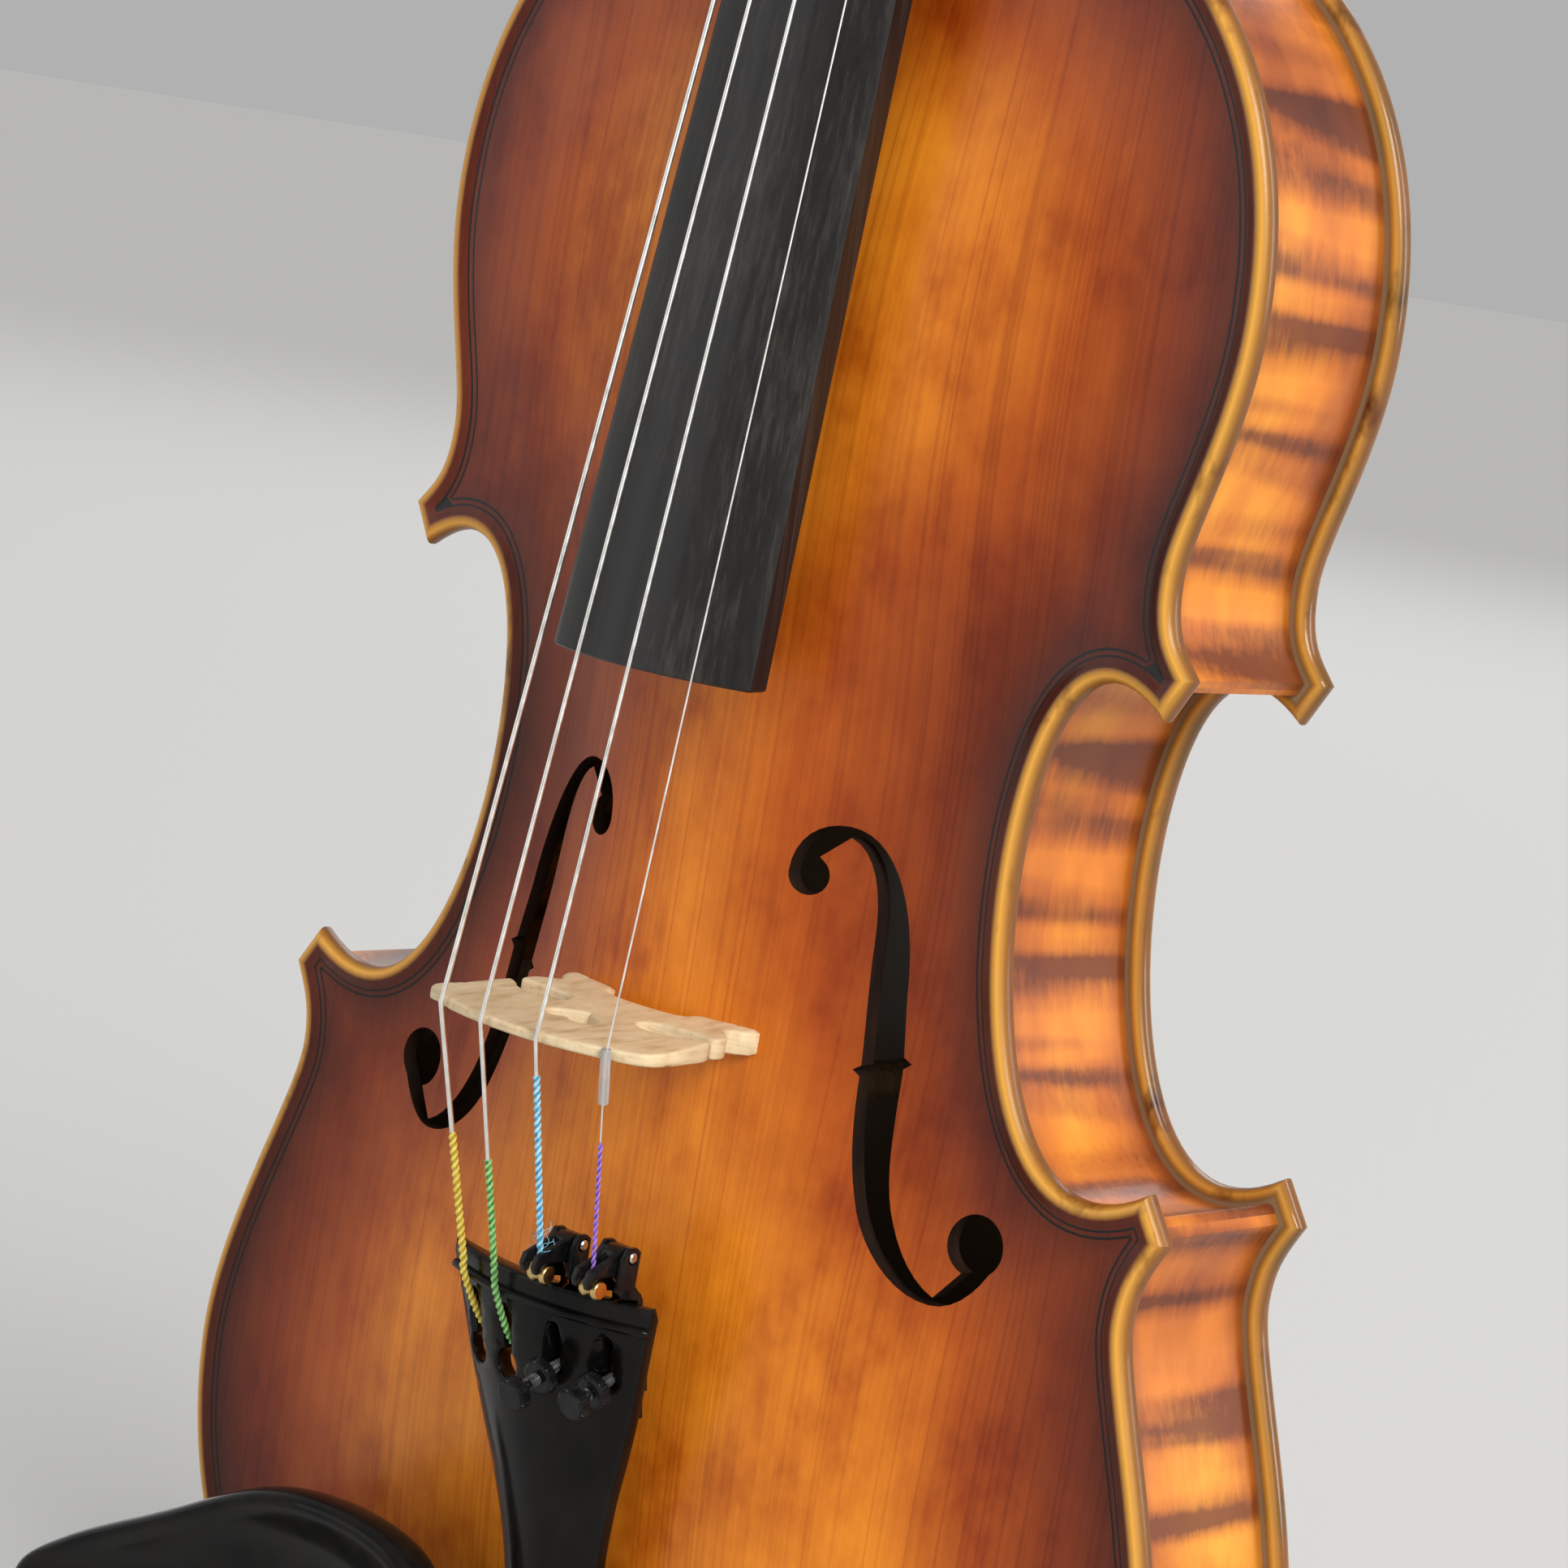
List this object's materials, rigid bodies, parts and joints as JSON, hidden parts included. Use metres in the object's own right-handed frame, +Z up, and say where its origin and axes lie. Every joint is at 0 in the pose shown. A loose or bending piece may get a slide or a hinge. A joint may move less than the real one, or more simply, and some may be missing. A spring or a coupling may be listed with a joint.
{
  "type": "violin",
  "caption": "Full-size bowed string instrument: arched hollow body with sound holes, neck with scroll, fingerboard, bridge, strings, tailpiece with adjusters, and a clamped chinrest.",
  "frame": {"origin": "centre of the end button's outer face", "axes": "+Z runs up the neck towards the scroll, -Y is the way the top plate faces, +X is the treble (E string) side"},
  "size_m": [0.2162, 0.0964, 0.5981],
  "materials": {
    "varnished_spruce": "gloss varnish, orange centre and dark red-brown edges",
    "varnished_maple": "gloss varnish over flamed maple",
    "neck_maple": "oiled handle, varnished pegbox and scroll",
    "ebony": "satin, worn",
    "black_polished_wood": "high gloss",
    "bare_maple": "bare, fine grained",
    "bare_spruce": "bare",
    "willow": "bare",
    "string_metal": "fine flat winding",
    "steel": "nickel plated",
    "black_metal": "black plated, satin",
    "brass": "polished",
    "cork": "bare",
    "gut_cord": "satin",
    "clear_plastic": "clear, slightly milky"
  },
  "bodies": {
    "violin_body": {"top_plate": "varnished_spruce", "back_plate": "varnished_maple", "rib_lower_treble": "varnished_maple", "rib_lower_bass": "varnished_maple", "rib_middle_treble": "varnished_maple", "rib_middle_bass": "varnished_maple", "rib_upper_treble": "varnished_maple", "rib_upper_bass": "varnished_maple", "neck": "neck_maple", "fingerboard": "ebony", "nut": "ebony", "saddle": "ebony", "end_button": "ebony", "tailpiece": "black_polished_wood", "tailpiece_fret": "black_polished_wood", "chinrest_cup": "black_polished_wood", "bridge": "bare_maple", "lower_block": "bare_spruce", "upper_block": "bare_spruce", "bass_bar": "bare_spruce", "sound_post": "bare_spruce", "corner_block_lower_treble": "willow", "corner_block_lower_bass": "willow", "corner_block_upper_treble": "willow", "corner_block_upper_bass": "willow", "string_g": "string_metal", "string_d": "string_metal", "string_a": "string_metal", "string_e": "string_metal", "clamp_upper": "steel", "tuner_pin_a": "steel", "tuner_pin_e": "steel", "tuner_bracket_a": "black_metal", "tuner_bracket_e": "black_metal", "tuner_nut_a": "black_metal", "tuner_nut_e": "black_metal", "chinrest_pad": "cork", "tail_gut": "gut_cord", "e_string_sleeve": "clear_plastic"},
    "peg_g_group": {"peg_g": "ebony", "winding_g": "string_metal"},
    "peg_d_group": {"peg_d": "ebony", "winding_d": "string_metal"},
    "peg_a_group": {"peg_a": "ebony", "winding_a": "string_metal"},
    "peg_e_group": {"peg_e": "ebony", "winding_e": "string_metal"},
    "adjuster_screw_a": {"tuner_screw_a": "steel"},
    "adjuster_head_a": {"tuner_head_a": "black_metal"},
    "adjuster_lever_a": {"tuner_lever_a": "black_metal", "ball_end_a": "brass"},
    "adjuster_screw_e": {"tuner_screw_e": "steel"},
    "adjuster_head_e": {"tuner_head_e": "black_metal"},
    "adjuster_lever_e": {"tuner_lever_e": "black_metal", "ball_end_e": "brass"},
    "clamp_jaw": {"clamp_lower": "steel", "clamp_pad": "cork"},
    "clamp_barrel_left": {"clamp_barrel_left": "steel"},
    "clamp_barrel_right": {"clamp_barrel_right": "steel"}
  },
  "joints": [
    {"name": "peg_g_turn", "type": "hinge", "parent": "violin_body", "child": "peg_g_group", "pos_m": [0, -0.001, 0.514], "axis": [1, 0, 0], "continuous": true},
    {"name": "peg_d_turn", "type": "hinge", "parent": "violin_body", "child": "peg_d_group", "pos_m": [0, 0.005, 0.541], "axis": [1, 0, 0], "continuous": true},
    {"name": "peg_a_turn", "type": "hinge", "parent": "violin_body", "child": "peg_a_group", "pos_m": [0, 0.008, 0.554], "axis": [1, 0, 0], "continuous": true},
    {"name": "peg_e_turn", "type": "hinge", "parent": "violin_body", "child": "peg_e_group", "pos_m": [0, 0.002, 0.5275], "axis": [1, 0, 0], "continuous": true},
    {"name": "adjuster_a_travel", "type": "slide", "parent": "violin_body", "child": "adjuster_screw_a", "axis": [0.0051, 0.9268, 0.3755], "range_m": [-0.0005, 0.0015]},
    {"name": "adjuster_a_turn", "type": "hinge", "parent": "adjuster_screw_a", "child": "adjuster_head_a", "pos_m": [0.00518, -0.05013, 0.1166], "axis": [0.0051, 0.9268, 0.3755], "range_deg": [-361, 1081]},
    {"name": "adjuster_a_lever", "type": "hinge", "parent": "violin_body", "child": "adjuster_lever_a", "pos_m": [0.00547, -0.0509, 0.1376], "axis": [0.9999, 0, -0.0135], "range_deg": [-1.43, 4.27]},
    {"name": "adjuster_e_travel", "type": "slide", "parent": "violin_body", "child": "adjuster_screw_e", "axis": [0.0138, 0.9268, 0.3753], "range_m": [-0.0005, 0.0015]},
    {"name": "adjuster_e_turn", "type": "hinge", "parent": "adjuster_screw_e", "child": "adjuster_head_e", "pos_m": [0.0141, -0.04753, 0.11661], "axis": [0.0138, 0.9268, 0.3753], "range_deg": [-361, 1081]},
    {"name": "adjuster_e_lever", "type": "hinge", "parent": "violin_body", "child": "adjuster_lever_e", "pos_m": [0.01489, -0.0497, 0.138], "axis": [0.9993, 0, -0.0367], "range_deg": [-1.43, 4.27]},
    {"name": "clamp_left_turn", "type": "hinge", "parent": "violin_body", "child": "clamp_barrel_left", "pos_m": [-0.05576, 0, 0.01363], "axis": [0, 1, 0], "range_deg": [0, 1801]},
    {"name": "clamp_right_turn", "type": "hinge", "parent": "violin_body", "child": "clamp_barrel_right", "pos_m": [-0.03434, 0, 0.00861], "axis": [0, 1, 0], "range_deg": [0, 1801]},
    {"name": "clamp_travel", "type": "slide", "parent": "violin_body", "child": "clamp_jaw", "axis": [0, 1, 0], "range_m": [0, 0.006]}
  ],
  "couplings": [
    {"joint": "adjuster_a_turn", "follows": "adjuster_a_travel", "rad_per_m": 12566},
    {"joint": "adjuster_a_lever", "follows": "adjuster_a_travel", "rad_per_m": 49.561},
    {"joint": "adjuster_e_turn", "follows": "adjuster_e_travel", "rad_per_m": 12566},
    {"joint": "adjuster_e_lever", "follows": "adjuster_e_travel", "rad_per_m": 48.523},
    {"joint": "clamp_left_turn", "follows": "clamp_travel", "rad_per_m": 5236},
    {"joint": "clamp_right_turn", "follows": "clamp_travel", "rad_per_m": 5236}
  ]
}
